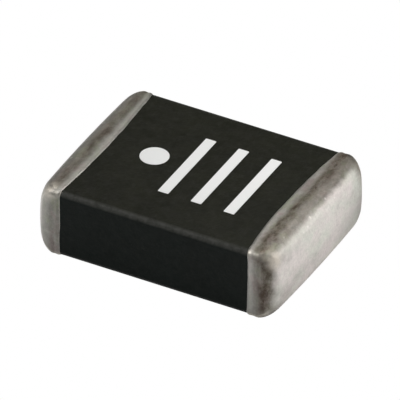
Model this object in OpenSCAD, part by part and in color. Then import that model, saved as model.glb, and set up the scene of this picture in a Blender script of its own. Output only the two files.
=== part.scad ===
// Multilayer chip inductor in the 3225 metric case (1210 in inches).
// A fired ferrite block holds a coil of printed silver lines, one line to a layer.
// Both ends are dipped in silver paste, fired, then plated with nickel and tin.
// Millimetres. The origin is the middle of the footprint, on the board. X runs along
// the length from the left end to the right end, Y across the width to the back, Z up.

/* [Case] */
// Length over the crowned ends
case_l = 3.25; // [3.1:0.05:3.4]
// Width over the end caps
case_w = 2.4; // [2.2:0.05:2.7]
// Thickness over the end caps
case_t = 0.96; // [0.84:0.02:1.2]

/* [Ferrite body] */
// Radius of the four long edges
body_edge_r = 0.084; // [0.06:0.004:0.1]
// Radius of the edges round each end face, which tumbling wears rounder
body_end_r = 0.22; // [0.21:0.01:0.24]

/* [End caps] */
// Length of the left band, where it crosses the long edges
left_band = 0.354; // [0.3:0.002:0.4]
// Extra reach of the left band at mid width
left_bulge = 0.05; // [0.02:0.005:0.1]
// Length of the right band, where it crosses the long edges
right_band = 0.374; // [0.3:0.002:0.4]
// Extra reach of the right band at mid width
right_bulge = 0.075; // [0.02:0.005:0.1]
// Radius that rolls the edge of each band down to the body
rim_r = 0.05; // [0.03:0.005:0.07]
// How far the end face is crowned, seen from the side
side_crown = 0.038; // [0.03:0.002:0.044]
// How far the end face is crowned, seen from above
plan_crown = 0.028; // [0.016:0.002:0.034]
// Radius of the edges round the dipped end face
cap_end_r = 0.185; // [0.165:0.005:0.195]
// How much rounder the corners of the end face are than the long edges
face_gain = 0.08; // [0.05:0.01:0.09]

/* [Layers of an end cap] */
// Fired silver on the long faces
silver_side_t = 0.008; // [0.007:0.001:0.012]
// Fired silver at the middle of the end face
silver_end_t = 0.125; // [0.12:0.005:0.14]
// Nickel barrier
nickel_t = 0.002; // [0.001:0.001:0.004]
// Tin finish
tin_t = 0.004; // [0.003:0.001:0.008]

/* [Coil] */
// Number of printed layers
coil_layers = 9; // [4:1:10]
// Length over the printed lines
coil_l = 2.1; // [1.7:0.05:2.2]
// Width over the printed lines
coil_w = 1.7; // [1.3:0.05:1.8]
// Outer corner radius of the lines
coil_corner_r = 0.28; // [0.22:0.01:0.4]
// Width of a printed line
line_w = 0.17; // [0.12:0.01:0.2]
// Thickness of a printed line
line_t = 0.018; // [0.012:0.002:0.024]
// Ferrite left between two layers
layer_gap = 0.042; // [0.03:0.002:0.05]
// Diameter of the filled holes that join the layers
via_d = 0.1; // [0.08:0.01:0.12]
// Diameter of the round pads at the ends of a line
pad_d = 0.24; // [0.2:0.01:0.28]
// Width of the strips that lead out to the end faces
lead_w = 0.3; // [0.2:0.02:0.4]

/* [Hidden] */
$fn = 96;

cap_names = ["silver_base", "nickel_barrier", "tin_plating"];

// Depths below the outer skin at which each layer of a cap starts
nickel_depth = tin_t;
silver_depth = tin_t + nickel_t;

// The block under the caps
side_build = silver_depth + silver_side_t;
body_l = case_l - 2 * (silver_depth + silver_end_t);
body_w = case_w - 2 * side_build;
body_t = case_t - 2 * side_build;
mid_z = case_t / 2;

// The long edges of a cap are concentric with those of the block
cap_edge_r = body_edge_r + side_build;

// How far the rolled edge of a band runs on under the surface of the block
rim_sink = 0.006;

// Segments of the skin: a section's corner, top and flank, the rolled edge, the rounded
// edge of the end face, and from there to its middle
CORNER_STEPS = 5;
TOP_STEPS = 8;
FLANK_STEPS = 2;
RIM_STEPS = 3;
END_STEPS = 6;
FACE_STEPS = 3;

// The centre line of a printed line, and the stack of layers
line_x = (coil_l - line_w) / 2;
line_y = (coil_w - line_w) / 2;
turn_r = coil_corner_r - line_w / 2;
layer_pitch = line_t + layer_gap;
stack_t = (coil_layers - 1) * layer_pitch + line_t;

// Signs of the coil's four corners, counted anticlockwise from the front left
CORNERS = [[-1, -1], [1, -1], [1, 1], [-1, 1]];
LEGS_A_LAYER = 3;
// Legs that the top layer needs to reach the right-hand side from each starting corner
LEGS_TO_EXIT = [2, 1, 3, 3];

// How far a cutting shape runs past what it cuts
past = 0.1;

// Points part of the way from p to q, without either end
function between(p, q, steps) = [for (i = [1:steps - 1]) p + (q - p) * i / steps];

// Point of a section at an angle of its corner k, for half sizes a and b and radius r
function corner_point(k, angle, a, b, r) = [
    (k == 0 || k == 3 ? 1 : -1) * (a - r) + r * cos(angle),
    (k < 2 ? 1 : -1) * (b - r) + r * sin(angle)
];

// Section of the skin across X, anticlockwise seen from +X, as points [y, z]
function section(a, b, r) = [
    for (k = [0:3])
        let (
            turn = 90 * (k + 1),
            end = corner_point(k, turn, a, b, r),
            next = corner_point((k + 1) % 4, turn, a, b, r)
        )
        each concat(
            [for (i = [0:CORNER_STEPS]) corner_point(k, turn - 90 + 90 * i / CORNER_STEPS, a, b, r)],
            between(end, next, k % 2 == 0 ? TOP_STEPS : FLANK_STEPS)
        )
];

// Fall of the crowned end face behind its tip, for half sizes a and b
function crown_fall(p, a, b) = plan_crown * pow(p[0] / a, 2) + side_crown * pow(p[1] / b, 2);

function first_corner(layer) = (LEGS_A_LAYER * (layer - 1)) % 4;
function legs(layer) = layer < coil_layers ? LEGS_A_LAYER : LEGS_TO_EXIT[first_corner(layer)];
function last_corner(layer) = (first_corner(layer) + legs(layer)) % 4;
function layer_z(layer) = mid_z - stack_t / 2 + (layer - 1) * layer_pitch;

// Rectangle centred on the origin with four round corners
module rounded_rect(l, w, r) {
    square([l - 2 * r, w], center = true);
    square([l, w - 2 * r], center = true);
    for (x = [-1, 1], y = [-1, 1])
        translate([x * (l / 2 - r), y * (w / 2 - r)])
            circle(r);
}

// Closed skin through rings of points that run towards +X, from one middle point to the other
module skin(rings, start, end) {
    n = len(rings[0]);
    last = len(rings) - 1;
    points = concat([start], [for (ring = rings) each ring], [end]);
    sides = [
        for (i = [0:last - 1], j = [0:n - 1])
            let (
                here = 1 + i * n + j,
                beside = 1 + i * n + (j + 1) % n
            )
            each [[here, here + n, beside + n], [here, beside + n, beside]]
    ];
    start_fan = [for (j = [0:n - 1]) [0, 1 + j, 1 + (j + 1) % n]];
    end_fan = [
        for (j = [0:n - 1])
            [len(points) - 1, 1 + last * n + (j + 1) % n, 1 + last * n + j]
    ];
    polyhedron(points, concat(start_fan, sides, end_fan), convexity = 4);
}

// Solid form of the right-hand dipped end, its skin drawn in by `depth`
module dipped_form(depth, band, bulge) {
    half_w = case_w / 2 - depth;
    half_t = case_t / 2 - depth;
    tip = case_l / 2 - depth;
    edge_r = cap_edge_r - depth;
    end_r = cap_end_r - depth;
    roll_r = rim_r - depth;
    wall = side_build - depth;
    edge_x = case_l / 2 - band + depth;
    surface_turn = acos(1 - wall / roll_r);
    full_turn = acos(1 - (wall + rim_sink) / roll_r);

    // The rolled edge climbs from under the surface of the block, along a bowed line
    rim = [
        for (i = [0:RIM_STEPS])
            let (
                turn = full_turn * (1 - i / RIM_STEPS),
                inset = roll_r * (1 - cos(turn)),
                rise_x = roll_r * (sin(surface_turn) - sin(turn))
            )
            [
                for (p = section(half_w - inset, half_t - inset, edge_r - inset))
                    [edge_x + rise_x - bulge * (1 - pow(p[0] / half_w, 2)), p[0], p[1]]
            ]
    ];
    // The skin turns round the edges of the end face, and its corners open out
    turned = [
        for (i = [0:END_STEPS])
            let (
                turn = 90 * i / END_STEPS,
                inset = end_r * (1 - cos(turn)),
                r = edge_r + face_gain * sin(turn)
            )
            [
                for (p = section(half_w - inset, half_t - inset, r))
                    [tip - end_r * (1 - sin(turn)) - crown_fall(p, half_w, half_t), p[0], p[1]]
            ]
    ];
    face = [
        for (i = [1:FACE_STEPS - 1])
            [
                for (p = turned[END_STEPS])
                    let (q = [p[1], p[2]] * (1 - i / FACE_STEPS))
                    [tip - crown_fall(q, half_w, half_t), q[0], q[1]]
            ]
    ];
    skin(concat(rim, turned, face), [edge_x, 0, 0], [tip, 0, 0]);
}

// Block form with body_edge_r along its length and body_end_r round its ends
module block_form() {
    intersection() {
        rotate([90, 0, 90])
            linear_extrude(body_l, center = true)
                rounded_rect(body_w, body_t, body_edge_r);
        linear_extrude(body_t + past, center = true)
            rounded_rect(body_l, body_w, body_end_r);
        rotate([90, 0, 0])
            linear_extrude(body_w + past, center = true)
                rounded_rect(body_l, body_t, body_end_r);
    }
}

// One layer of a cap, from `depth` down to `under`, or down to the block where under is undef
module cap_layer(side, depth, under) {
    band = side == "left" ? left_band : right_band;
    bulge = side == "left" ? left_bulge : right_bulge;
    translate([0, 0, mid_z])
        mirror([side == "left" ? 1 : 0, 0, 0])
            difference() {
                dipped_form(depth, band, bulge);
                if (!is_undef(under))
                    dipped_form(under, band, bulge);
                block_form();
            }
}

// Straight run of a printed line, from corner i to the next one
module leg(i) {
    along_x = i % 2 == 0;
    from = CORNERS[i];
    size = along_x ? [2 * (line_x - turn_r), line_w] : [line_w, 2 * (line_y - turn_r)];
    centre = along_x ? [0, from[1] * line_y] : [from[0] * line_x, 0];
    translate(centre)
        square(size, center = true);
}

// Quarter bend of a printed line at corner i
module bend(i) {
    sign = CORNERS[i];
    translate([sign[0] * (line_x - turn_r), sign[1] * (line_y - turn_r)])
        rotate(i * 90 + 180)
            intersection() {
                difference() {
                    circle(coil_corner_r);
                    circle(coil_corner_r - line_w);
                }
                square(coil_corner_r + past);
            }
}

// Places its children where the layers are joined at corner i, half way round the bend
module at_join(i) {
    sign = CORNERS[i];
    reach = turn_r * sqrt(0.5);
    translate([sign[0] * (line_x - turn_r + reach), sign[1] * (line_y - turn_r + reach)])
        children();
}

// Strip from corner i straight out to the end face on its side
module lead(i) {
    sign = CORNERS[i];
    inner = line_x - turn_r;
    outer = body_l / 2;
    translate([sign[0] * (inner + outer) / 2, sign[1] * line_y])
        square([outer - inner, lead_w], center = true);
}

// Printed line of one layer, with the filled hole that joins it to the layer below
module printed_layer(layer) {
    first = first_corner(layer);
    last = last_corner(layer);
    translate([0, 0, layer_z(layer)])
        linear_extrude(line_t) {
            for (i = [0:legs(layer) - 1])
                leg((first + i) % 4);
            for (i = [0:legs(layer)])
                bend((first + i) % 4);
            for (corner = [first, last])
                at_join(corner)
                    circle(d = pad_d);
            if (layer == 1)
                lead(first);
            if (layer == coil_layers)
                lead(last);
        }
    if (layer > 1)
        translate([0, 0, layer_z(layer) - layer_gap])
            linear_extrude(layer_gap)
                at_join(first)
                    circle(d = via_d);
}

module ferrite_body() {
    color([0.14, 0.14, 0.14])
        difference() {
            translate([0, 0, mid_z])
                block_form();
            for (layer = [1:coil_layers])
                printed_layer(layer);
        }
}

module silver_base(side) {
    color([0.85, 0.85, 0.83])
        cap_layer(side, silver_depth);
}

module nickel_barrier(side) {
    color([0.66, 0.64, 0.58])
        cap_layer(side, nickel_depth, silver_depth);
}

module tin_plating(side) {
    color([0.58, 0.57, 0.54])
        cap_layer(side, 0, nickel_depth);
}

module coil_layer(layer) {
    color([0.92, 0.9, 0.86])
        printed_layer(layer);
}

ferrite_body();
for (side = ["left", "right"]) {
    silver_base(side);
    nickel_barrier(side);
    tin_plating(side);
}
for (layer = [1:coil_layers])
    coil_layer(layer);
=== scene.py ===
import math

import bmesh
import bpy
from mathutils import Matrix, Vector, noise


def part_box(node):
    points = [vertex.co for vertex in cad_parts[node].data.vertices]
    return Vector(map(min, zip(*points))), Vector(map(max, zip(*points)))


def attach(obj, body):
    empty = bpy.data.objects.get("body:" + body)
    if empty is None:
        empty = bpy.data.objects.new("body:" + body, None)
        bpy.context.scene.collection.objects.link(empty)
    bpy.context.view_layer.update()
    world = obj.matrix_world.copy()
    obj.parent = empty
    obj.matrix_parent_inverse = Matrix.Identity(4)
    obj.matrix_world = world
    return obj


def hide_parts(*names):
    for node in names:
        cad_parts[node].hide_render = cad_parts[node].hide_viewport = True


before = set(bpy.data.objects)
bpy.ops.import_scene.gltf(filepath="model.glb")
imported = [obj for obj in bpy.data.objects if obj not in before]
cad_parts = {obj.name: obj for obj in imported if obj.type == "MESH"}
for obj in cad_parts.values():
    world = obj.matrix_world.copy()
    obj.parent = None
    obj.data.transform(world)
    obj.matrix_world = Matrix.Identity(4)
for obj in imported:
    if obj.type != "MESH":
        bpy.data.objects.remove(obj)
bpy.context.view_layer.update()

# Sizes are in millimetres in the row frame, and MM turns them into Blender's metres
MM = 0.001
# Sign of X on each side, and signs of a rectangle's corners, anticlockwise
SIDES = {"left": -1, "right": 1}
CORNERS = ((1, 1), (-1, 1), (-1, -1), (1, -1))

# Form of the block and the caps, as in the part
EDGE_R = 0.084        # long edges of the block
BODY_END_R = 0.22     # edges round the ends of the block
CAP_END_R = 0.185     # edges round the end face of a cap
FACE_GAIN = 0.08      # how far a cap's corners open out towards its end face
SIDE_CROWN = 0.038    # how far the end face falls back to the top and the underside
PLAN_CROWN = 0.028    # how far it falls back to the flanks
RIM_R = 0.05          # roll of a band's lip down to the block
RIM_SINK = 0.006      # how far the lip goes on into the block
TIN_T = 0.004
BULGE = {"left": 0.05, "right": 0.075}    # bow of each band's edge towards the middle

# How sharply what belongs to a flank gives way to what belongs to the top and the underside
FLANK_POWER = 6

# Layers of noise, each with its weight and how much finer it is
WANDER_LAYERS = ((1.0, 1.0), (0.5, 2.7))
RIPPLE_LAYERS = ((0.65, 1.0), (0.35, 2.9))
RESIDUE_SHADE_LAYERS = ((1.0, 1.0), (0.6, 3.1))
# Where each noise is read for the right cap; the left cap reads it as far below zero
WANDER_SEED = 7.0
RIPPLE_SEED = 11.0
RESIDUE_SHADE_SEED = 5.0

# Relief of the tin: a shallow dip behind the lip of the band, which closes a little before the
# end, and soft ripples
DIP_DEPTH = 0.003
DIP_SQUEEZE = 1.15
RIPPLE_DEPTH = 0.0012
RIPPLE_SIZE = 0.16
RIPPLE_SWING = 0.7
# How far the edge of a band strays from its bow
EDGE_WANDER = 0.007
WANDER_SIZE = 0.22
# How far the plating has crept over the ferrite at the front of each band, how much of that is
# left at the back and half way up the flanks, and where it grows towards the front, over what length
CREEP = {"left": 0.0, "right": 0.018}
CREEP_AT_BACK = 0.25
CREEP_ON_FLANK = 0.3
CREEP_RISE = (0.2, 0.6)

# Marks that the tin's mesh carries at its points: brown residue, partly painted shade, the thin stain
# round it, the painted highlight on the lips, and the painted highlight on the front corners
MARKS = ("residue_and_shade", "stain", "lip_highlight", "corner_highlight")
# Residue on the top and on the flanks, partly painted shade where the band turns towards the end: where
# it starts along X, over what length it sets in, where it stops, over what length it fades, and its
# strength
RESIDUE_AND_SHADE = {
    "left": ((1.345, 0.09, 1.445, 0.09, 0.75), (1.27, 0.03, 1.36, 0.10, 0.2)),
    "right": ((1.28, 0.08, 1.395, 0.10, 1.0), (1.385, 0.16, 1.57, 0.10, 0.94)),
}
RESIDUE_SHADE_WANDER = 0.025
# How much further towards the end it reaches on the top: at the front, and at both corners
RESIDUE_SHADE_SLANT = {"left": 0.0, "right": 0.03}
RESIDUE_SHADE_FLARE = {"left": 0.0, "right": 0.08}
FLARE_POWER = 4
# Where it begins above the foot of the flanks, and over what height
RESIDUE_SHADE_FOOT = (0.1, 0.2)
# How far the stain reaches beyond the residue on the top, over what length it fades, and its strength
STAIN_REACH = 0.11
STAIN_FADE = 0.10
STAIN_LEVEL = 0.5
# The back top corner of the right cap made darker grey: its strength, how much of it goes into the
# residue mark, and where it sets in along X, Y and Z, over what length
BACK_CORNER_DARK_LEVEL = 0.95
BACK_CORNER_IN_RESIDUE = 0.75
BACK_CORNER_DARK_RISE = ((1.42, 0.12), (1.05, 0.3), (0.72, 0.4))
# The painted highlight on the front top corner of each cap: its place, how wide it is and how bright
CORNER_HIGHLIGHT = {
    "left": ((1.44, -1.14, 0.91), 0.19, 0.9),
    "right": ((1.56, -1.08, 0.85), 0.18, 1.0),
}
# How bright the lip of each band is painted, as a painted highlight, on the top and on the flanks, and
# over what length
LIP_HIGHLIGHT = {"left": (0.33, 0.0), "right": (0.08, 0.32)}
LIP_HIGHLIGHT_LENGTH = 0.07

# Segments of the fine skins
CORNER_STEPS = 14
TOP_STEPS = 60
FLANK_STEPS = 20
RIM_STEPS = 8
BAND_STEPS = 24
END_STEPS = 18
FACE_STEPS = 18
BLOCK_STEPS = 48
# Points nearer to each other than this are one point
SAME_POINT = 0.00001

# The white mark: a dot for the start of the winding, and three bars, all with the same middle in Y
MARK_T = 0.004
MARK_Y = 0.015
BAR_L = 1.23
BAR_W = 0.14
BAR_CORNER_R = 0.012
BAR_CORNER_STEPS = 4
BAR_PLACES = (-0.2, 0.24, 0.68)
DOT_D = 0.36
DOT_PLACE = -0.64
DOT_STEPS = 16
# The edge of the ink, from below: its height over the ferrite, and how far it is drawn in
INK_EDGE = ((-0.001, 0.0), (0.5 * MARK_T, 0.0), (0.85 * MARK_T, 0.0015), (MARK_T, 0.004))

# Camera at the photograph's angle
IMAGE_SIDE = 400
AZIMUTH = 27.65
ELEVATION = 35.27
ROLL = 0.54
DISTANCE = 180.0
PIXELS_PER_MM = 84.17
CENTRE_PIXEL = (201.23, 203.61)
SENSOR = 36.0
CLIP_START = 10.0

# Soft round lights: azimuth, elevation, distance and diameter in millimetres, watts, colour
LIGHTS = {
    "key_front_left": (-36, 46, 30, 13, 0.0024, (0.97, 1.0, 1.0)),
    "front_right": (66, 32, 30, 7, 0.0009, (1.0, 0.97, 0.9)),
    "left_side": (-72, 27, 30, 10, 0.0009, (1.0, 0.98, 0.92)),
    "overhead": (0, 90, 30, 14, 0.0012, (0.99, 1.0, 1.0)),
    "back_left_high": (225, 55, 30, 12, 0.0011, (1.0, 1.0, 0.93)),
    "near_right_high": (120, 65, 6, 4, 0.00013, (1.0, 0.98, 0.95)),
    "near_right_low": (125, 20, 9, 5, 0.00013, (1.0, 0.98, 0.95)),
    "back_right_low": (120, 10, 30, 14, 0.0005, (1.0, 0.97, 0.94)),
    "back_low": (210, 10, 30, 12, 0.0005, (1.0, 0.98, 0.92)),
}
FLOOR_SIDE = 400.0


def node_box(name):
    """Lowest and highest corner of a CAD node in millimetres."""
    low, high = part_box(name)
    return low / MM, high / MM


def band_edge(side):
    """Where the band of a cap ends at its corners, counted outwards from the middle."""
    low, high = node_box(f"{side}_tin_plating")
    inner = high if side == "left" else low
    return abs(inner.x) + BULGE[side]


body_low, body_high = node_box("ferrite_body")
cap_low, cap_high = node_box("right_tin_plating")
BODY_L = body_high.x - body_low.x
BODY_W = body_high.y - body_low.y
BODY_T = body_high.z - body_low.z
HALF_W = cap_high.y
HALF_T = (cap_high.z - cap_low.z) / 2
MID_Z = (cap_high.z + cap_low.z) / 2
TIP = cap_high.x
WALL = HALF_W - BODY_W / 2
CAP_EDGE_R = EDGE_R + WALL
BAND_EDGE = {side: band_edge(side) for side in SIDES}
CENTRE = Vector((0, 0, MID_Z)) * MM


def soft_step(value, middle, fade):
    """Rises from 0 to 1 over a stretch `fade` long."""
    share = min(1, max(0, (value - middle) / fade + 0.5))
    return share * share * (3 - 2 * share)


def layered(place, layers):
    """Noise of several layers at a place."""
    return sum(weight * noise.noise(place * fineness) for weight, fineness in layers)


def clamp(value, limit):
    """Keeps a value between -limit and limit."""
    return max(-limit, min(limit, value))


def section(half_w, half_t, r):
    """Rounded rectangle across X, anticlockwise seen from +X, as points (y, z)."""
    points = []
    for k, (sign_y, sign_z) in enumerate(CORNERS):
        centre = Vector((sign_y * (half_w - r), sign_z * (half_t - r)))
        for i in range(CORNER_STEPS + 1):
            turn = math.radians(90 * (k + i / CORNER_STEPS))
            points.append(centre + r * Vector((math.cos(turn), math.sin(turn))))
        end = points[-1]
        next_y, next_z = CORNERS[(k + 1) % 4]
        turn = math.radians(90 * (k + 1))
        start = Vector((next_y * (half_w - r), next_z * (half_t - r)))
        start += r * Vector((math.cos(turn), math.sin(turn)))
        steps = FLANK_STEPS if k % 2 else TOP_STEPS
        points += [end.lerp(start, i / steps) for i in range(1, steps)]
    return points


def tube_faces(rings, count):
    """Faces between rings of `count` points."""
    faces = []
    for i in range(rings - 1):
        for j in range(count):
            here = i * count + j
            beside = i * count + (j + 1) % count
            faces.append((here, beside, beside + count, here + count))
    return faces


def fan_faces(first, count, tip):
    """Faces between a ring of `count` points and the point at its tip."""
    return [(first + j, first + (j + 1) % count, tip) for j in range(count)]


class CapSkin:
    """A skin of a right-hand dipped end, drawn in by `depth`, whose band dips by `dip`. It is made
    of rings of points round X."""

    def __init__(self, side, depth, dip):
        self.side = side
        self.dip = dip
        self.half_w, self.half_t, self.tip = HALF_W - depth, HALF_T - depth, TIP - depth
        self.edge_r, self.end_r, self.roll_r = CAP_EDGE_R - depth, CAP_END_R - depth, RIM_R - depth
        self.wall = WALL - depth
        self.edge_x = BAND_EDGE[side] + depth

    def outline(self, inset, r):
        """Section across X, drawn in by `inset`, with corners of radius r."""
        return section(self.half_w - inset, self.half_t - inset, r)

    def lip_x(self, y, z, rise):
        """Where the band ends: bowed, straying a little, and crept further at the front."""
        bow = BULGE[self.side] * (1 - (y / self.half_w) ** 2)
        forward = CREEP_AT_BACK + (1 - CREEP_AT_BACK) * soft_step(-y, *CREEP_RISE)
        level = CREEP_ON_FLANK + (1 - CREEP_ON_FLANK) * (z / self.half_t) ** FLANK_POWER
        creep = CREEP[self.side] * forward * level
        spot = Vector((y, z, SIDES[self.side] * WANDER_SEED)) / WANDER_SIZE
        return self.edge_x + rise - bow - creep + EDGE_WANDER * layered(spot, WANDER_LAYERS)

    def end_x(self, y, z, back=0):
        """Where the crowned end lies, `back` before its tip."""
        fall = PLAN_CROWN * (y / self.half_w) ** 2 + SIDE_CROWN * (z / self.half_t) ** 2
        return self.tip - back - fall

    def lip_rings(self):
        """The lip of the band, rolled up from the block."""
        surface_turn = math.acos(1 - self.wall / self.roll_r)
        full_turn = math.acos(1 - (self.wall + RIM_SINK) / self.roll_r)
        rings = []
        for i in range(RIM_STEPS + 1):
            turn = full_turn * (1 - i / RIM_STEPS)
            inset = self.roll_r * (1 - math.cos(turn))
            rise = self.roll_r * (math.sin(surface_turn) - math.sin(turn))
            outline = self.outline(inset, self.edge_r - inset)
            rings.append([Vector((self.lip_x(y, z, rise), y, z)) for y, z in outline])
        return rings

    def band_rings(self, lip):
        """The band from its lip to the end, with the dip."""
        rings = []
        for i in range(1, BAND_STEPS):
            share = i / BAND_STEPS
            sunk = self.dip * math.sin(math.pi * min(1, share * DIP_SQUEEZE)) ** 2
            outline = self.outline(sunk, self.edge_r - sunk)
            rings.append([
                Vector((start.x + (self.end_x(y, z, self.end_r) - start.x) * share, y, z))
                for (y, z), start in zip(outline, lip)
            ])
        return rings

    def end_rings(self):
        """The round edge of the end, whose corners open out towards the face."""
        rings = []
        for i in range(END_STEPS + 1):
            turn = math.radians(90 * i / END_STEPS)
            inset = self.end_r * (1 - math.cos(turn))
            back = self.end_r * (1 - math.sin(turn))
            outline = self.outline(inset, self.edge_r + FACE_GAIN * math.sin(turn))
            rings.append([Vector((self.end_x(y, z, back), y, z)) for y, z in outline])
        return rings

    def face_rings(self, edge):
        """The crowned end face, from its edge inwards."""
        rings = []
        for i in range(1, FACE_STEPS):
            share = 1 - i / FACE_STEPS
            places = [(p.y * share, p.z * share) for p in edge]
            rings.append([Vector((self.end_x(y, z), y, z)) for y, z in places])
        return rings

    def surface(self):
        """Points and faces of the skin, and how many points a ring has."""
        lip, end = self.lip_rings(), self.end_rings()
        rings = lip + self.band_rings(lip[-1]) + end + self.face_rings(end[-1])
        count = len(end[0])
        points = [p for ring in rings for p in ring]
        tip = len(points)
        faces = tube_faces(len(rings), count) + fan_faces(tip - count, count, tip)
        return points + [Vector((self.tip, 0, 0))], faces, count


def add_mesh(name, points, faces, material):
    """A smooth mesh piece in the row frame, from points in millimetres."""
    mesh = bpy.data.meshes.new(name)
    mesh.from_pydata([p * MM for p in points], [], faces)
    mesh.validate()
    mesh.polygons.foreach_set("use_smooth", [True] * len(mesh.polygons))
    mesh.materials.append(material)
    piece = bpy.data.objects.new(name, mesh)
    bpy.context.scene.collection.objects.link(piece)
    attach(piece, "root")
    return piece


def weld(mesh):
    """Joins the points that fall on one another where the block's corners close up."""
    form = bmesh.new()
    form.from_mesh(mesh)
    bmesh.ops.remove_doubles(form, verts=form.verts, dist=SAME_POINT * MM)
    form.to_mesh(mesh)
    form.free()


def ripple(mesh, count, side):
    """Sinks the first `count` points of a skin a little, along its normals, in soft ripples."""
    normals = [vertex.normal.copy() for vertex in mesh.vertices]
    for vertex, normal in zip(list(mesh.vertices)[:count], normals):
        place = vertex.co / MM / RIPPLE_SIZE + Vector((0, 0, RIPPLE_SEED * SIDES[side]))
        level = 0.5 + RIPPLE_SWING * layered(place, RIPPLE_LAYERS)
        vertex.co -= normal * RIPPLE_DEPTH * MM * min(1, max(0, level))


def back_corner_dark_level(place):
    """Level of the darker grey on the back top corner at a place."""
    level = BACK_CORNER_DARK_LEVEL
    for value, (middle, fade) in zip(place, BACK_CORNER_DARK_RISE):
        level *= soft_step(value, middle, fade)
    return level


def residue_and_shade_levels(side, place, upright):
    """Levels of residue, partly painted shade, and of stain: behind the lip on the top and the
    underside, and on the flanks where they turn into the end."""
    x, y, z = place
    start, rise, stop, fade, strength = (
        flank + (top - flank) * upright for top, flank in zip(*RESIDUE_AND_SHADE[side])
    )
    spot = Vector((y, z, RESIDUE_SHADE_SEED * SIDES[side])) / WANDER_SIZE
    along = abs(x) + RESIDUE_SHADE_WANDER * layered(spot, RESIDUE_SHADE_LAYERS)
    onset = strength * soft_step(along, start, rise)
    onset *= upright + (1 - upright) * soft_step(z, *RESIDUE_SHADE_FOOT)
    flare = RESIDUE_SHADE_FLARE[side] * (y / HALF_W) ** FLARE_POWER
    stop += upright * (flare - RESIDUE_SHADE_SLANT[side] * y / HALF_W)
    reach = stop + STAIN_REACH * upright
    halo = onset * STAIN_LEVEL * upright * (1 - soft_step(along, reach, STAIN_FADE))
    # Darker grey on the back top corner of the right cap
    back_corner_dark = back_corner_dark_level(place)
    return max(onset * (1 - soft_step(along, stop, fade)), BACK_CORNER_IN_RESIDUE * back_corner_dark), max(halo, back_corner_dark)


def lip_highlight_level(side, place, upright):
    """How far the lip of the band is painted bright at a place, as a painted highlight."""
    lip = BAND_EDGE[side] - BULGE[side] * (1 - (place.y / HALF_W) ** 2)
    top, flank = LIP_HIGHLIGHT[side]
    level = flank + (top - flank) * upright
    return level * (1 - soft_step(abs(place.x), lip + LIP_HIGHLIGHT_LENGTH, LIP_HIGHLIGHT_LENGTH))


def corner_highlight_level(side, place):
    """How bright the front top corner is painted at a place, as a painted highlight."""
    corner, width, level = CORNER_HIGHLIGHT[side]
    distance = (Vector((abs(place.x), place.y, place.z)) - Vector(corner)).length
    return level * (1 - soft_step(distance, width / 2, width))


def add_marks(mesh, side):
    """Gives the mesh of a tin cap the levels of its marks at each point."""
    for name in MARKS:
        mesh.attributes.new(name, "FLOAT", "POINT")
    layers = [mesh.attributes[name].data for name in MARKS]
    for k, vertex in enumerate(mesh.vertices):
        place = vertex.co / MM
        upright = min(1, (abs(place.z - MID_Z) / HALF_T) ** FLANK_POWER)
        residue_and_shade, stain = residue_and_shade_levels(side, place, upright)
        levels = (residue_and_shade, stain, lip_highlight_level(side, place, upright), corner_highlight_level(side, place))
        for layer, level in zip(layers, levels):
            layer[k].value = level


def tin_cap(side, material):
    """The tin that shows on one end: its outer skin, and its inner one against the nickel."""
    outer, faces, count = CapSkin(side, 0, DIP_DEPTH).surface()
    inner, inner_faces, count = CapSkin(side, TIN_T, 0).surface()
    first = len(outer)
    faces += [tuple(first + k for k in reversed(face)) for face in inner_faces]
    for j in range(count):
        beside = (j + 1) % count
        faces.append((beside, j, first + j, first + beside))
    if SIDES[side] < 0:
        faces = [face[::-1] for face in faces]
    points = [Vector((p.x * SIDES[side], p.y, p.z + MID_Z)) for p in outer + inner]
    cap = add_mesh(f"{side}_tin_cap", points, faces, material)
    ripple(cap.data, first, side)
    add_marks(cap.data, side)
    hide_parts(f"{side}_tin_plating")


def block_stations():
    """Where the rings of the block lie along X, and how far each is drawn in."""
    left_end = []
    for i in range(END_STEPS + 1):
        turn = math.radians(90 * i / END_STEPS)
        inset = BODY_END_R * (1 - math.sin(turn))
        left_end.append((-BODY_L / 2 + BODY_END_R * (1 - math.cos(turn)), inset))
    inner_l = BODY_L - 2 * BODY_END_R
    middle = [(-inner_l / 2 + inner_l * i / BLOCK_STEPS, 0) for i in range(1, BLOCK_STEPS)]
    return left_end + middle + [(-x, inset) for x, inset in reversed(left_end)]


def ferrite_block(material):
    """The fired block with fine round edges, its ends drawn in under the caps."""
    half_w, half_t = BODY_W / 2, BODY_T / 2
    full = section(half_w, half_t, EDGE_R)
    stations = block_stations()
    points = [
        Vector((x, clamp(y, half_w - inset), MID_Z + clamp(z, half_t - inset)))
        for x, inset in stations
        for y, z in full
    ]
    count = len(full)
    right_tip = len(points)
    left_tip = right_tip + 1
    points += [Vector((BODY_L / 2, 0, MID_Z)), Vector((-BODY_L / 2, 0, MID_Z))]
    faces = tube_faces(len(stations), count) + fan_faces(right_tip - count, count, right_tip)
    faces += [face[::-1] for face in fan_faces(0, count, left_tip)]
    block = add_mesh("ferrite_block", points, faces, material)
    weld(block.data)
    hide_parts("ferrite_body")


def round_outline(centre_x, length_x, length_y, r, steps):
    """Rounded rectangle in the plan, at the mark's middle across Y, anticlockwise, as points (x, y)."""
    outline = []
    for k, (sign_x, sign_y) in enumerate(CORNERS):
        x = centre_x + sign_x * (length_x / 2 - r)
        y = MARK_Y + sign_y * (length_y / 2 - r)
        for i in range(steps + 1):
            turn = math.radians(90 * (k + i / steps))
            outline.append((x + r * math.cos(turn), y + r * math.sin(turn)))
    return [p for k, p in enumerate(outline) if math.dist(p, outline[k - 1]) > SAME_POINT]


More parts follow.
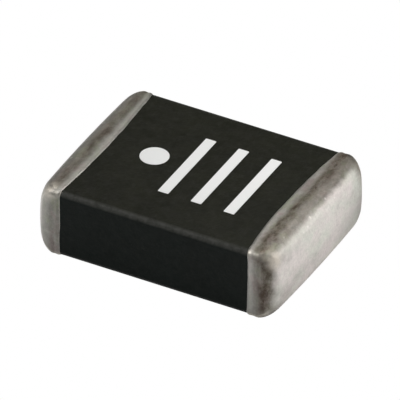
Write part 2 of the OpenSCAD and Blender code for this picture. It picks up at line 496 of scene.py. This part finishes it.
def ink_field(name, outline, material):
    """A printed field of ink: a thin pad on the top with a soft edge."""
    top = MID_Z + BODY_T / 2
    count = len(outline)
    centre = Vector((sum(x for x, y in outline), sum(y for x, y in outline), 0)) / count
    points = []
    for height, inset in INK_EDGE:
        for x, y in outline:
            inward = (centre - Vector((x, y, 0))).normalized() * inset
            points.append(Vector((x + inward.x, y + inward.y, top + height)))
    faces = tube_faces(len(INK_EDGE), count)
    faces.append(tuple(range(len(points) - count, len(points))))
    faces.append(tuple(reversed(range(count))))
    field = add_mesh(name, points, faces, material)
    for face in field.data.polygons[-2:]:
        face.use_smooth = False


def white_mark(material):
    """A dot for the start of the winding and three bars, in the middle of the top."""
    ink_field("ink_start_dot", round_outline(DOT_PLACE, DOT_D, DOT_D, DOT_D / 2, DOT_STEPS), material)
    for number, x in enumerate(BAR_PLACES, 1):
        bar = round_outline(x, BAR_W, BAR_L, BAR_CORNER_R, BAR_CORNER_STEPS)
        ink_field(f"ink_bar_{number}", bar, material)


class Nodes:
    """A small helper that builds a material's node tree in millimetre coordinates."""

    # Sockets of the node that mixes colours
    MIX_A, MIX_B, MIX_RESULT = 6, 7, 2

    def __init__(self, name):
        self.material = bpy.data.materials.new(name)
        self.material.use_nodes = True
        self.tree = self.material.node_tree
        self.shader = self.tree.nodes["Principled BSDF"]
        origin = self.add("ShaderNodeTexCoord").outputs
        scaled = self.add(
            "ShaderNodeVectorMath", operation="SCALE", Vector=origin["Object"], Scale=1 / MM
        )
        size = self.add("ShaderNodeVectorMath", operation="ABSOLUTE", Vector=origin["Normal"])
        self.place = scaled.outputs[0]
        self.at = self.xyz(self.place)
        self.normal = self.xyz(origin["Normal"])
        self.facing = self.xyz(size.outputs[0])

    def add(self, kind, **settings):
        """A new node, with sockets and properties set by name."""
        node = self.tree.nodes.new(kind)
        for key, value in settings.items():
            if key in node.inputs:
                self.put(node.inputs[key], value)
            else:
                setattr(node, key, value)
        return node

    def put(self, socket, value):
        """Links a socket to another one, or sets its value."""
        if isinstance(value, bpy.types.NodeSocket):
            self.tree.links.new(value, socket)
        else:
            socket.default_value = value

    def xyz(self, vector):
        """The parts X, Y and Z of a vector."""
        return self.add("ShaderNodeSeparateXYZ", Vector=vector).outputs

    def noise(self, size, detail, roughness, stretch=(1, 1, 1)):
        """Noise from 0 to 1 whose features are about `size` millimetres."""
        place = self.add("ShaderNodeVectorMath", operation="MULTIPLY", Vector=self.place)
        place.inputs[1].default_value = stretch
        texture = self.add("ShaderNodeTexNoise", Scale=1 / size, Detail=detail, Roughness=roughness)
        self.put(texture.inputs["Vector"], place.outputs[0])
        return texture.outputs["Fac"]

    def ramp(self, value, low, high, start=0.0, end=1.0):
        """Maps low..high to start..end and clamps it."""
        node = self.add("ShaderNodeMapRange", Value=value)
        limits = {"From Min": low, "From Max": high, "To Min": start, "To Max": end}
        for key, number in limits.items():
            node.inputs[key].default_value = number
        return node.outputs["Result"]

    def patches(self, size, detail, roughness, low, high, start=0.0, end=1.0, stretch=(1, 1, 1)):
        """Patches of noise: `start` where it is under `low`, rising to `end` where it is over `high`."""
        return self.ramp(self.noise(size, detail, roughness, stretch), low, high, start, end)

    def curve(self, value, stops):
        """Straight lines through the stops, each a place from 0 to 1 and its level."""
        node = self.add("ShaderNodeValToRGB", Fac=value)
        points = node.color_ramp.elements
        while len(points) < len(stops):
            points.new(1.0)
        for point, (place, level) in zip(points, stops):
            point.position = place
            point.color = rgb(level, level, level)
        return node.outputs["Color"]

    def mark(self, name):
        """A level that the mesh carries at its points."""
        return self.add("ShaderNodeAttribute", attribute_name=name).outputs["Fac"]

    def mix(self, share, a, b):
        """Colour a where the share is 0, and b where it is 1."""
        node = self.add("ShaderNodeMix", data_type="RGBA")
        self.put(node.inputs["Factor"], share)
        self.put(node.inputs[self.MIX_A], a)
        self.put(node.inputs[self.MIX_B], b)
        return node.outputs[self.MIX_RESULT]

    def combine(self, operation, a, b):
        """Two numbers put together by an operation."""
        node = self.add("ShaderNodeMath", operation=operation)
        self.put(node.inputs[0], a)
        self.put(node.inputs[1], b)
        return node.outputs[0]

    def times(self, a, b):
        return self.combine("MULTIPLY", a, b)

    def larger(self, a, b):
        return self.combine("MAXIMUM", a, b)

    def scale(self, colour, factor):
        """A colour made lighter or darker by a factor."""
        node = self.add("ShaderNodeVectorMath", operation="SCALE", Vector=colour)
        self.put(node.inputs["Scale"], factor)
        return node.outputs[0]

    def bump(self, height, depth, normal=None):
        """Relief of `depth` millimetres."""
        node = self.add("ShaderNodeBump", Height=height, Strength=1.0, Distance=depth * MM)
        if normal is not None:
            self.put(node.inputs["Normal"], normal)
        return node.outputs[0]

    def finish(self, **values):
        """Sets the shader's sockets, named with _ for each space, and gives the material."""
        for key, value in values.items():
            self.put(self.shader.inputs[key.replace("_", " ")], value)
        return self.material


def rgb(red, green, blue):
    """An opaque colour."""
    return (red, green, blue, 1.0)


# Ferrite: two shades each of the top, painted lighter and warmer as painted light, and of the sides,
# painted darker and cooler as painted shade, then the grain, and the painted highlight of the long edges
LIT_TOP_SHADES = (rgb(0.0036, 0.0042, 0.0006), rgb(0.0078, 0.0086, 0.0030))
SHADED_SIDE_SHADES = (rgb(0.0001, 0.0026, 0.0016), rgb(0.0008, 0.0042, 0.0032))
FERRITE_GRAIN = rgb(0.018, 0.018, 0.0155)
FERRITE_EDGE_HIGHLIGHT = rgb(0.056, 0.056, 0.051)

# Tin: bare and streaked, clouded, with painted glints, and painted lighter along the edges, where it is
# also rubbed, and at the corners, as painted highlights
TIN_SHADES = (rgb(0.882, 0.828, 0.82), rgb(0.82, 0.784, 0.764))
TIN_CLOUD = rgb(0.81, 0.82, 0.77)
# Painted glints: bright specks on the edges of the ends
TIN_GLINT = rgb(0.93, 0.91, 0.88)
TIN_RUB_AND_HIGHLIGHT = (rgb(0.82, 0.77, 0.69), rgb(0.97, 0.90, 0.82))
# The film on its bands, partly tarnish and partly painted shade, in two shades and two tints
FILM_AND_SHADE_TONES = (rgb(0.375, 0.362, 0.340), rgb(0.325, 0.314, 0.292))
FILM_GREEN = rgb(0.315, 0.33, 0.26)
FILM_RED = rgb(0.345, 0.295, 0.285)
# Residue, partly painted shade, its olive patches, and the thin stain round it
RESIDUE_SHADES = (rgb(0.08, 0.058, 0.044), rgb(0.21, 0.18, 0.15))
RESIDUE_OLIVE = rgb(0.17, 0.17, 0.13)
STAIN_SHADES = (rgb(0.24, 0.195, 0.155), rgb(0.42, 0.37, 0.315))
# How far the right and the left cap are bare of film, by how far their surface faces the end: painted
# light on the ends, painted shade on the bands
RIGHT_BARE_AND_LIT = ((0.48, 0.0), (0.74, 0.75), (0.87, 0.77), (1.0, 1.0))
LEFT_BARE_AND_LIT = ((0.0, 0.0), (0.45, 0.33), (0.55, 0.42), (0.67, 0.94), (0.78, 1.0))
RUBBED_SMOOTHER = 0.08

INK_SHADES = (rgb(0.855, 0.86, 0.87), rgb(0.885, 0.89, 0.90))

# Metals inside the chip: material, size of the grain, its two shades, and its least and most roughness
INNER_METALS = {
    "silver_base": ("fired_silver", 0.02, rgb(0.60, 0.59, 0.56), rgb(0.74, 0.73, 0.70), 0.5, 0.65),
    "nickel_barrier": ("nickel_plate", 0.012, rgb(0.42, 0.40, 0.36), rgb(0.50, 0.48, 0.43), 0.25, 0.4),
    "coil_layer": ("printed_silver", 0.014, rgb(0.72, 0.71, 0.68), rgb(0.84, 0.83, 0.80), 0.35, 0.5),
}
# Depth of their grain, and size of the patches of their roughness, as shares of the grain's size
GRAIN_DEPTH = 0.08
ROUGH_PATCH = 3


def ferrite_material():
    """Fired black ferrite: matte, faintly mottled, with fine grain and pores; its top painted lighter
    and its sides darker, as painted light and shade, and its long edges painted a little greyer, as a
    painted highlight."""
    n = Nodes("fired_ferrite")
    blotch = n.patches(0.4, 5, 0.75, low=0.38, high=0.62)
    # Painted light and shade: faces that look up take the lighter, warmer shades, the sides the darker,
    # cooler ones
    lit_top_share = n.ramp(n.facing["Z"], 0.3, 0.9)
    colour = n.mix(lit_top_share, n.mix(blotch, *SHADED_SIDE_SHADES), n.mix(blotch, *LIT_TOP_SHADES))
    speck = n.patches(0.07, 4, 0.75, low=0.42, high=0.78)
    colour = n.mix(n.times(speck, n.ramp(n.facing["Z"], 0.3, 0.9, 0.3, 0.65)), colour, FERRITE_GRAIN)
    # Painted highlight: the long edges, where the top turns into the sides, painted lighter in patches
    edge = n.times(n.ramp(n.facing["Y"], 0.15, 0.6), n.ramp(n.facing["Z"], 0.1, 0.45))
    edge_highlight = n.times(edge, n.patches(0.09, 4, 0.65, low=0.35, high=0.6, start=0.5))
    colour = n.mix(edge_highlight, colour, FERRITE_EDGE_HIGHLIGHT)
    rough = n.patches(0.12, 3, 0.6, low=0.3, high=0.7, start=0.46, end=0.58)
    relief = n.bump(n.noise(0.03, 4, 0.7), 0.0030, n.bump(n.noise(0.09, 3, 0.6), 0.0050))
    return n.finish(Base_Color=colour, Roughness=rough, Normal=relief, Specular_IOR_Level=0.18)


def bare_tin(n, streak):
    """Tin with streaks and clouds of tarnish, painted darker low down and towards the back, as painted
    shade.
    """
    cloud = n.patches(0.28, 3, 0.55, low=0.40, high=0.62, stretch=(1, 0.6, 1))
    colour = n.mix(cloud, n.mix(streak, *TIN_SHADES), TIN_CLOUD)
    # Painted shade: darker low down, and darker towards the back, most of all low down and at the back
    # edge
    colour = n.scale(colour, n.ramp(n.at["Z"], 0.36, 0.54, 0.90, 1.0))
    low_and_back_shade = n.times(n.ramp(n.at["Y"], 0.3, 1.0), n.ramp(n.at["Z"], 0.40, 0.75, 0.26, 0.06))
    low_and_back_shade = n.combine("ADD", low_and_back_shade, n.ramp(n.at["Y"], 0.9, 1.15, 0.0, 0.2))
    return n.scale(colour, n.combine("SUBTRACT", 1.0, low_and_back_shade))


def tin_film_and_shade(n, streak):
    """The grey film on the bands, partly tarnish and partly painted shade, tinted green and red in
    places.
    """
    tint = n.noise(0.20, 4, 0.65, (1, 0.7, 0.7))
    film_and_shade_colour = n.mix(streak, *FILM_AND_SHADE_TONES)
    film_and_shade_colour = n.mix(n.ramp(tint, 0.53, 0.62, 0.0, 0.8), film_and_shade_colour, FILM_GREEN)
    film_and_shade_colour = n.mix(n.ramp(tint, 0.47, 0.38, 0.0, 0.8), film_and_shade_colour, FILM_RED)
    mottle = n.patches(0.07, 4, 0.7, low=0.32, high=0.68, start=0.82, end=1.18, stretch=(1, 0.6, 0.6))
    return n.scale(film_and_shade_colour, mottle)


def bare_and_lit_share(n):
    """How far the tin is bare of film and painted lighter: on the ends, by how far they face the end,
    and on the lips, as a painted highlight.
    """
    stray = n.patches(0.13, 4, 0.7, low=0.3, high=0.7, start=-0.09, end=0.09)
    # Painted light: the more the tin faces the end, the more it takes the light bare colour
    right = n.curve(n.combine("ADD", n.normal["X"], stray), RIGHT_BARE_AND_LIT)
    left = n.curve(n.times(n.normal["X"], -1.0), LEFT_BARE_AND_LIT)
    # Painted shade: on the left cap the faces that look up keep more of the darker film
    left = n.times(left, n.ramp(n.normal["Z"], 0.15, 0.5, 1.0, 0.4))
    # Painted highlight on the lips of the bands
    return n.larger(n.larger(right, left), n.mark("lip_highlight"))


def glint_share(n):
    """Small painted glints along the top and bottom edges of the ends."""
    end_edge = n.ramp(n.times(n.facing["X"], n.facing["Z"]), 0.28, 0.46)
    return n.times(n.patches(0.10, 1, 0.5, low=0.69, high=0.76, end=0.8), end_edge)


def add_residue(n, colour):
    """Lays the thin stain and the brown and olive residue, partly painted shade, over a colour, where
    the mesh is marked.
    """
    smear = n.patches(0.085, 5, 0.75, low=0.42, high=0.60, stretch=(1, 0.55, 0.55))
    olive = n.patches(0.15, 2, 0.5, low=0.48, high=0.62, end=0.6, stretch=(1, 0.6, 0.6))
    patchy = n.patches(0.14, 5, 0.7, low=0.36, high=0.56, start=0.4, stretch=(1, 0.5, 0.5))
    residue = n.mix(olive, n.mix(smear, *RESIDUE_SHADES), RESIDUE_OLIVE)
    colour = n.mix(n.times(n.mark("stain"), patchy), colour, n.mix(smear, *STAIN_SHADES))
    # Brown residue, darkened partly as painted shade, where the mesh is marked
    return n.mix(n.times(n.mark("residue_and_shade"), patchy), colour, residue)


def rub_and_highlight_share(n):
    """How far the tin is painted lighter as a painted highlight: along its long edges, where it is also
    rubbed, less under residue, and at the front corners.
    """
    # Painted highlight along the crease of the long edges, which are also worn
    edge = n.times(n.ramp(n.facing["Y"], 0.30, 0.72), n.ramp(n.facing["Z"], 0.12, 0.42))
    edge = n.times(edge, n.patches(0.12, 4, 0.65, low=0.38, high=0.6, start=0.45, end=0.9))
    edge = n.times(edge, n.ramp(n.mark("residue_and_shade"), 0.0, 1.0, 1.0, 0.45))
    # Painted highlight: a soft bright patch on each front top corner
    corner = n.times(n.mark("corner_highlight"), n.patches(0.08, 3, 0.6, low=0.36, high=0.5, start=0.75))
    return n.larger(edge, corner)


def tin_material():
    """Matte tin plating: fine crystals and soft dents, a grey film on the bands that is partly painted
    shade, faint streaks of tarnish across the ends, painted glints, painted highlights along the edges
    and at the corners, and brown and green residue that is partly painted shade."""
    n = Nodes("matte_tin")
    streak = n.patches(0.10, 4, 0.62, low=0.36, high=0.66, stretch=(1, 0.35, 1))
    colour = n.mix(bare_and_lit_share(n), tin_film_and_shade(n, streak), bare_tin(n, streak))
    # Painted glints along the edges of the ends
    colour = n.mix(glint_share(n), colour, TIN_GLINT)
    colour = add_residue(n, colour)
    rub_and_highlight = rub_and_highlight_share(n)
    # Painted highlights: the edges and the front corners take the light colours
    colour = n.mix(rub_and_highlight, colour, n.mix(n.mark("corner_highlight"), *TIN_RUB_AND_HIGHLIGHT))
    colour = n.scale(colour, n.patches(0.035, 3, 0.75, low=0.3, high=0.7, start=0.90, end=1.10))
    rough = n.patches(0.07, 4, 0.7, low=0.3, high=0.7, start=0.50, end=0.60)
    rough = n.combine("SUBTRACT", rough, n.times(rub_and_highlight, RUBBED_SMOOTHER))
    relief = n.bump(n.noise(0.025, 3, 0.7), 0.0010, n.bump(n.noise(0.07, 3, 0.6), 0.0022))
    return n.finish(Base_Color=colour, Roughness=rough, Normal=relief, Metallic=1.0)


def ink_material():
    """White marking ink: matte, with a faint grain."""
    n = Nodes("white_ink")
    colour = n.mix(n.noise(0.05, 3, 0.6), *INK_SHADES)
    relief = n.bump(n.noise(0.03, 3, 0.6), 0.0004)
    return n.finish(Base_Color=colour, Roughness=0.6, Normal=relief)


def grained_metal(name, size, dark, light, least_rough, most_rough):
    """A metal inside the chip: sintered or plated, with grains and pores."""
    n = Nodes(name)
    grain = n.noise(size, 4, 0.7)
    colour = n.mix(n.ramp(grain, 0.35, 0.65), dark, light)
    rough = n.patches(size * ROUGH_PATCH, 3, 0.6, low=0.3, high=0.7, start=least_rough, end=most_rough)
    relief = n.bump(grain, size * GRAIN_DEPTH)
    return n.finish(Base_Color=colour, Roughness=rough, Normal=relief, Metallic=1.0)


def dress_inner_nodes():
    """Finishes for the CAD nodes that stay: bases, barriers and the printed coil."""
    for kind, finish in INNER_METALS.items():
        material = grained_metal(*finish)
        for name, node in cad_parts.items():
            if kind in name:
                node.data.materials.clear()
                node.data.materials.append(material)


def direction(azimuth, elevation):
    """Unit vector to a place seen from the chip; azimuth 0 is -Y and 90 is +X."""
    a, e = math.radians(azimuth), math.radians(elevation)
    return Vector((math.sin(a) * math.cos(e), -math.cos(a) * math.cos(e), math.sin(e)))


def aim(thing, way, distance):
    """Puts a camera or light a distance away from the chip in a direction, facing it."""
    thing.location = CENTRE + way * distance * MM
    thing.rotation_mode = "QUATERNION"
    thing.rotation_quaternion = (CENTRE - thing.location).to_track_quat("-Z", "Y")


def add_camera():
    """Camera at the photograph's angle, with the shift that its framing has."""
    data = bpy.data.cameras.new("camera")
    data.sensor_width = SENSOR
    data.lens = SENSOR * PIXELS_PER_MM * DISTANCE / IMAGE_SIDE
    data.shift_x = (IMAGE_SIDE / 2 - CENTRE_PIXEL[0]) / IMAGE_SIDE
    data.shift_y = (CENTRE_PIXEL[1] - IMAGE_SIDE / 2) / IMAGE_SIDE
    data.clip_start = CLIP_START * MM
    camera = bpy.data.objects.new("camera", data)
    bpy.context.scene.collection.objects.link(camera)
    back = direction(AZIMUTH, ELEVATION)
    aim(camera, back, DISTANCE)
    spin = Matrix.Rotation(math.radians(ROLL), 4, back).to_quaternion()
    camera.rotation_quaternion = spin @ camera.rotation_quaternion
    bpy.context.scene.camera = camera


def add_lights():
    """Soft lights round the chip, which the camera doesn't see."""
    for name, (azimuth, elevation, distance, diameter, power, colour) in LIGHTS.items():
        data = bpy.data.lights.new(name, "AREA")
        data.shape = "DISK"
        data.size = diameter * MM
        data.energy = power
        data.color = colour
        light = bpy.data.objects.new(name, data)
        light.visible_camera = False
        bpy.context.scene.collection.objects.link(light)
        aim(light, direction(azimuth, elevation), distance)


def show_camera(tree, lit, seen, surface):
    """Shows the camera one shader, while the light meets the other."""
    path = tree.nodes.new("ShaderNodeLightPath")
    either = tree.nodes.new("ShaderNodeMixShader")
    tree.links.new(path.outputs["Is Camera Ray"], either.inputs[0])
    tree.links.new(lit.outputs[0], either.inputs[1])
    tree.links.new(seen.outputs[0], either.inputs[2])
    tree.links.new(either.outputs[0], surface)


def add_world():
    """The room beyond the floor: pale grey to the camera, and otherwise dark, so that all light
    comes from the lamps."""
    world = bpy.data.worlds.new("studio")
    world.use_nodes = True
    tree = world.node_tree
    dark = tree.nodes["Background"]
    dark.inputs["Strength"].default_value = 0.0
    seen = tree.nodes.new("ShaderNodeBackground")
    seen.inputs["Color"].default_value = rgb(0.8, 0.8, 0.8)
    show_camera(tree, dark, seen, tree.nodes["World Output"].inputs["Surface"])
    bpy.context.scene.world = world


def floor_material():
    """Matte pale paper, which the camera sees as plain white."""
    material = bpy.data.materials.new("white_paper")
    material.use_nodes = True
    tree = material.node_tree
    paper = tree.nodes["Principled BSDF"]
    paper.inputs["Base Color"].default_value = rgb(0.94, 0.94, 0.94)
    paper.inputs["Roughness"].default_value = 0.9
    seen = tree.nodes.new("ShaderNodeEmission")
    seen.inputs["Color"].default_value = rgb(1, 1, 1)
    show_camera(tree, paper, seen, tree.nodes["Material Output"].inputs["Surface"])
    return material


def add_floor():
    """Plain pale floor."""
    half = FLOOR_SIDE / 2 * MM
    corners = [Vector((x, y, 0)) * half for x, y in ((-1, -1), (1, -1), (1, 1), (-1, 1))]
    mesh = bpy.data.meshes.new("floor")
    mesh.from_pydata(corners, [], [(0, 1, 2, 3)])
    mesh.materials.append(floor_material())
    floor = bpy.data.objects.new("floor", mesh)
    bpy.context.scene.collection.objects.link(floor)


def main():
    bpy.context.scene.view_settings.view_transform = "Standard"
    add_camera()
    add_world()
    add_lights()
    add_floor()
    ferrite_block(ferrite_material())
    tin = tin_material()
    for side in SIDES:
        tin_cap(side, tin)
    white_mark(ink_material())
    dress_inner_nodes()


main()
